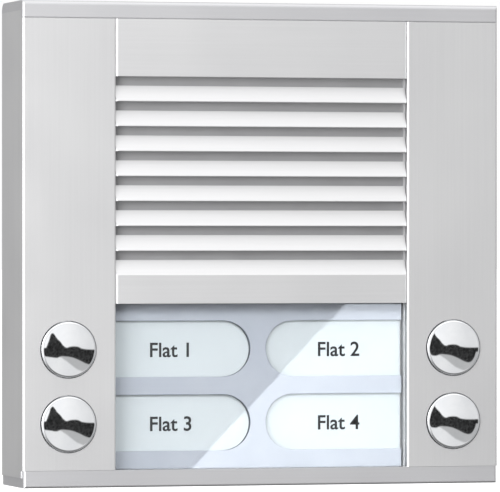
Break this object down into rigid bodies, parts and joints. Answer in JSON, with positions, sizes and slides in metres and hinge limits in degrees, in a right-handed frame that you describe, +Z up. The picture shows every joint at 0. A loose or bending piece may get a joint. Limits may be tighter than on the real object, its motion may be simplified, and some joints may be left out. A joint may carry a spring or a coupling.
{
  "type": "door intercom panel",
  "caption": "Surface-mounted audio door intercom: anodised aluminium housing, louvred speech grille, lit name window and round chrome bell buttons.",
  "frame": {"origin": "centre of the face that rests on the wall", "axes": "+X to the right as seen from the front, +Z up, -Y out of the wall towards the visitor"},
  "size_m": [0.137, 0.0263, 0.134],
  "materials": {
    "anodised_aluminium": "fine matt anodised, silver",
    "cap_aluminium": "matt anodised end plates, silver",
    "chrome": "polished chrome",
    "clear_plastic": "clear polycarbonate, smooth",
    "tinted_mask": "translucent blue-grey, satin",
    "card": "white card with printed names",
    "opal_plastic": "opal diffuser",
    "white_plastic": "white moulded plastic",
    "grey_plastic": "dark grey moulded plastic, fine grain",
    "black_plastic": "black moulded plastic",
    "green_plastic": "green moulded terminal plastic",
    "blue_plastic": "blue moulded plastic",
    "circuit_board": "green solder mask over glass laminate",
    "lamp": "small lamp with a yellow-white lens",
    "steel": "zinc-plated steel",
    "stainless": "stainless steel",
    "spring_steel": "drawn spring wire",
    "mesh": "fine woven steel mesh",
    "ferrite": "dark ferrite and steel",
    "paper_cone": "black pressed paper",
    "copper": "enamelled copper wire",
    "brass": "plated brass",
    "rubber": "black rubber",
    "foam": "closed-cell foam",
    "capsule_metal": "drawn aluminium can",
    "capacitor_sleeve": "shrink sleeve",
    "wire_sleeve": "wire insulation"
  },
  "bodies": {
    "housing": {"front_profile": "anodised_aluminium", "top_cap": "cap_aluminium", "bottom_cap": "cap_aluminium", "cap_screws": "stainless", "lock_screw": "stainless", "louvre_grille": "anodised_aluminium", "grille_mesh": "mesh", "window_pane": "clear_plastic", "label_mask": "tinted_mask", "light_diffuser": "opal_plastic", "light_tray": "white_plastic", "led_board": "circuit_board", "leds": "lamp", "tray_screws": "steel", "speaker_gasket": "foam", "speaker_basket": "steel", "speaker_magnet": "ferrite", "voice_coil": "copper", "speaker_surround": "rubber", "speaker_cone": "paper_cone", "speaker_dust_cap": "paper_cone", "speaker_screws": "steel", "microphone_boot": "rubber", "microphone_capsule": "capsule_metal", "carrier_screws": "steel", "switch_bodies": "black_plastic", "main_pcb": "circuit_board", "pcb_standoffs": "brass", "pcb_screws": "steel", "terminal_block": "green_plastic", "terminal_screws": "steel", "amplifier_chip": "black_plastic", "capacitors": "capacitor_sleeve", "trimmer_bodies": "blue_plastic", "speaker_leads": "wire_sleeve", "microphone_leads": "wire_sleeve", "led_pins": "brass", "back_plate": "grey_plastic", "wall_seal": "foam", "cable_grommet": "rubber", "button_carrier_left": "black_plastic", "button_carrier_right": "black_plastic", "name_card_1": "card", "button_spring_1": "spring_steel", "name_card_2": "card", "button_spring_2": "spring_steel", "name_card_3": "card", "button_spring_3": "spring_steel", "name_card_4": "card", "button_spring_4": "spring_steel"},
    "button_1": {"button_cap_1": "chrome"},
    "button_2": {"button_cap_2": "chrome"},
    "button_3": {"button_cap_3": "chrome"},
    "button_4": {"button_cap_4": "chrome"},
    "plunger_1": {"switch_plunger_1": "white_plastic"},
    "plunger_2": {"switch_plunger_2": "white_plastic"},
    "plunger_3": {"switch_plunger_3": "white_plastic"},
    "plunger_4": {"switch_plunger_4": "white_plastic"},
    "speaker_volume": {"speaker_volume_rotor": "white_plastic"},
    "microphone_volume": {"microphone_volume_rotor": "white_plastic"}
  },
  "joints": [
    {"name": "button_1_press", "type": "slide", "parent": "housing", "child": "button_1", "axis": [0, 1, 0], "range_m": [0, 0.0012], "stiffness_N_per_m": 900, "springref_m": -0.0012, "deforming": ["button_spring_1"]},
    {"name": "button_2_press", "type": "slide", "parent": "housing", "child": "button_2", "axis": [0, 1, 0], "range_m": [0, 0.0012], "stiffness_N_per_m": 900, "springref_m": -0.0012, "deforming": ["button_spring_2"]},
    {"name": "button_3_press", "type": "slide", "parent": "housing", "child": "button_3", "axis": [0, 1, 0], "range_m": [0, 0.0012], "stiffness_N_per_m": 900, "springref_m": -0.0012, "deforming": ["button_spring_3"]},
    {"name": "button_4_press", "type": "slide", "parent": "housing", "child": "button_4", "axis": [0, 1, 0], "range_m": [0, 0.0012], "stiffness_N_per_m": 900, "springref_m": -0.0012, "deforming": ["button_spring_4"]},
    {"name": "plunger_1_press", "type": "slide", "parent": "housing", "child": "plunger_1", "axis": [0, 1, 0], "range_m": [0, 0.0012]},
    {"name": "plunger_2_press", "type": "slide", "parent": "housing", "child": "plunger_2", "axis": [0, 1, 0], "range_m": [0, 0.0012]},
    {"name": "plunger_3_press", "type": "slide", "parent": "housing", "child": "plunger_3", "axis": [0, 1, 0], "range_m": [0, 0.0012]},
    {"name": "plunger_4_press", "type": "slide", "parent": "housing", "child": "plunger_4", "axis": [0, 1, 0], "range_m": [0, 0.0012]},
    {"name": "speaker_volume_turn", "type": "hinge", "parent": "housing", "child": "speaker_volume", "pos_m": [-0.045, -0.0084, -0.055], "axis": [0, 1, 0], "range_deg": [-135, 135]},
    {"name": "microphone_volume_turn", "type": "hinge", "parent": "housing", "child": "microphone_volume", "pos_m": [-0.033, -0.0084, -0.055], "axis": [0, 1, 0], "range_deg": [-135, 135]}
  ],
  "couplings": [
    {"joint": "plunger_1_press", "follows": "button_1_press", "ratio": 1},
    {"joint": "plunger_2_press", "follows": "button_2_press", "ratio": 1},
    {"joint": "plunger_3_press", "follows": "button_3_press", "ratio": 1},
    {"joint": "plunger_4_press", "follows": "button_4_press", "ratio": 1}
  ]
}
